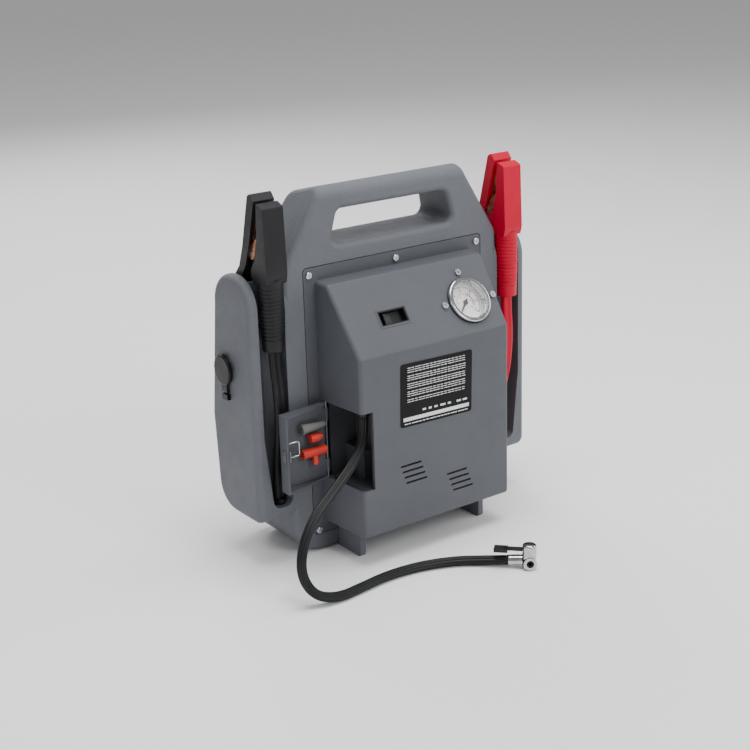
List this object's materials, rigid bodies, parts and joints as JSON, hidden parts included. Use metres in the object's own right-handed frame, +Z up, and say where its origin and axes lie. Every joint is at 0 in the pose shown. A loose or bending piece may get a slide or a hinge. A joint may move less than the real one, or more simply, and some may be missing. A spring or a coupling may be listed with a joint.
{
  "type": "jump starter pack",
  "caption": "Upright 12 V jump starter with a grip, two parked clamps on leads, a built-in air compressor with gauge, an open hose door and a drawn-out air hose.",
  "frame": {"origin": "centre of the base, on the surface that the pack stands on, in the plane 3 mm behind the shells' seam", "axes": "+X to the right seen from the front, -Y to the front, where the compressor cover and gauge face, +Z up"},
  "size_m": [0.3722, 0.2675, 0.3874],
  "materials": {
    "shell_grey": "fine leather grain",
    "cover_grey": "fine satin grain",
    "black_plastic": "satin",
    "black_rubber": "matt",
    "red_rubber": "satin",
    "red_plastic": "semi gloss",
    "zinc": "bright zinc",
    "copper": "copper plated",
    "adapter_grey": "satin",
    "adapter_red": "semi gloss",
    "chrome": "polished",
    "dial_white": "printed",
    "needle_black": "matt",
    "lens_clear": "clear",
    "label_black": "printed film",
    "hose_rubber": "ribbed",
    "battery_case": "matt case of a lead-acid block",
    "lead_alloy": "dull",
    "motor_steel": "rolled",
    "pump_alloy": "die cast",
    "board_green": "lacquered",
    "light_red": "translucent"
  },
  "bodies": {
    "housing": {"air_hose": "hose_rubber", "battery": "battery_case", "battery_cables": "black_rubber", "battery_terminals": "lead_alloy", "black_front_boot": "black_plastic", "black_lead": "black_rubber", "cap_anchor": "black_rubber", "charge_jack": "black_plastic", "chuck_body": "chrome", "chuck_pin": "zinc", "chuck_seal": "black_rubber", "circuit_board": "board_green", "clamp_front_jaws": "copper", "clamp_rivets": "zinc", "clamp_springs": "zinc", "compressor_cover": "cover_grey", "compressor_motor": "motor_steel", "cover_screws": "zinc", "dc_socket": "chrome", "delivery_pipe": "pump_alloy", "door_hinge_pin": "zinc", "front_shell": "shell_grey", "gauge_bezel": "black_plastic", "gauge_case": "black_plastic", "gauge_dial": "dial_white", "gauge_lens": "lens_clear", "gauge_movement": "black_plastic", "gauge_screws": "zinc", "hose_ferrule": "chrome", "hose_liner": "black_plastic", "hose_outlet": "black_plastic", "lead_grommets": "black_rubber", "level_lights": "light_red", "main_fuse": "black_plastic", "motor_mount": "black_plastic", "pump_body": "pump_alloy", "pump_head": "pump_alloy", "rating_label": "label_black", "rear_shell": "shell_grey", "red_front_boot": "red_plastic", "red_lead": "red_rubber", "shell_screws": "zinc", "socket_contact": "copper", "switch_body": "black_plastic", "switch_tray": "black_plastic"},
    "door": {"hose_door": "cover_grey", "door_latch": "zinc", "cone_adapter": "adapter_grey", "ball_needle_adapter": "adapter_red", "valve_adapter": "adapter_red", "adapter_clips": "black_plastic"},
    "rocker": {"switch_rocker": "red_plastic"},
    "needle": {"gauge_needle": "needle_black"},
    "black_rear_arm": {"black_rear_boot": "black_plastic", "black_rear_jaw": "copper"},
    "red_rear_arm": {"red_rear_boot": "red_plastic", "red_rear_jaw": "copper"},
    "cap": {"socket_cap": "black_rubber"},
    "lever": {"chuck_lever": "black_plastic"},
    "button": {"test_button": "black_plastic"}
  },
  "joints": [
    {"name": "hose_door_hinge", "type": "hinge", "parent": "housing", "child": "door", "pos_m": [-0.0984, -0.0556, 0.1266], "axis": [0, 0, -1], "range_deg": [-38, 4]},
    {"name": "compressor_switch", "type": "hinge", "parent": "housing", "child": "rocker", "pos_m": [-0.0376, -0.08566, 0.24858], "axis": [0, -0.58, -0.8146], "range_deg": [0, 16]},
    {"name": "gauge_needle_turn", "type": "hinge", "parent": "housing", "child": "needle", "pos_m": [0.0589, -0.0941, 0.2525], "axis": [0, 0.8146, -0.58], "range_deg": [0, 270], "stiffness_Nm_per_rad": 0.0004},
    {"name": "black_clamp_squeeze", "type": "hinge", "parent": "housing", "child": "black_rear_arm", "pos_m": [-0.1505, -0.027, 0.327], "axis": [-1, 0, 0], "range_deg": [0, 11], "stiffness_Nm_per_rad": 1.2, "springref_deg": -17.19},
    {"name": "red_clamp_squeeze", "type": "hinge", "parent": "housing", "child": "red_rear_arm", "pos_m": [0.1505, -0.027, 0.327], "axis": [-1, 0, 0], "range_deg": [0, 11], "stiffness_Nm_per_rad": 1.2, "springref_deg": -17.19},
    {"name": "socket_cap_flap", "type": "hinge", "parent": "housing", "child": "cap", "pos_m": [-0.1801, 0.002, 0.1824], "axis": [0, -1, 0], "range_deg": [0, 115]},
    {"name": "chuck_lever_lift", "type": "hinge", "parent": "housing", "child": "lever", "pos_m": [0.03592, -0.2157, 0.0205], "axis": [0.7255, 0.6883, 0], "range_deg": [0, 60]},
    {"name": "test_button_press", "type": "slide", "parent": "housing", "child": "button", "axis": [0, -1, 0], "range_m": [0, 0.0018], "stiffness_N_per_m": 250, "springref_m": -0.0015}
  ]
}
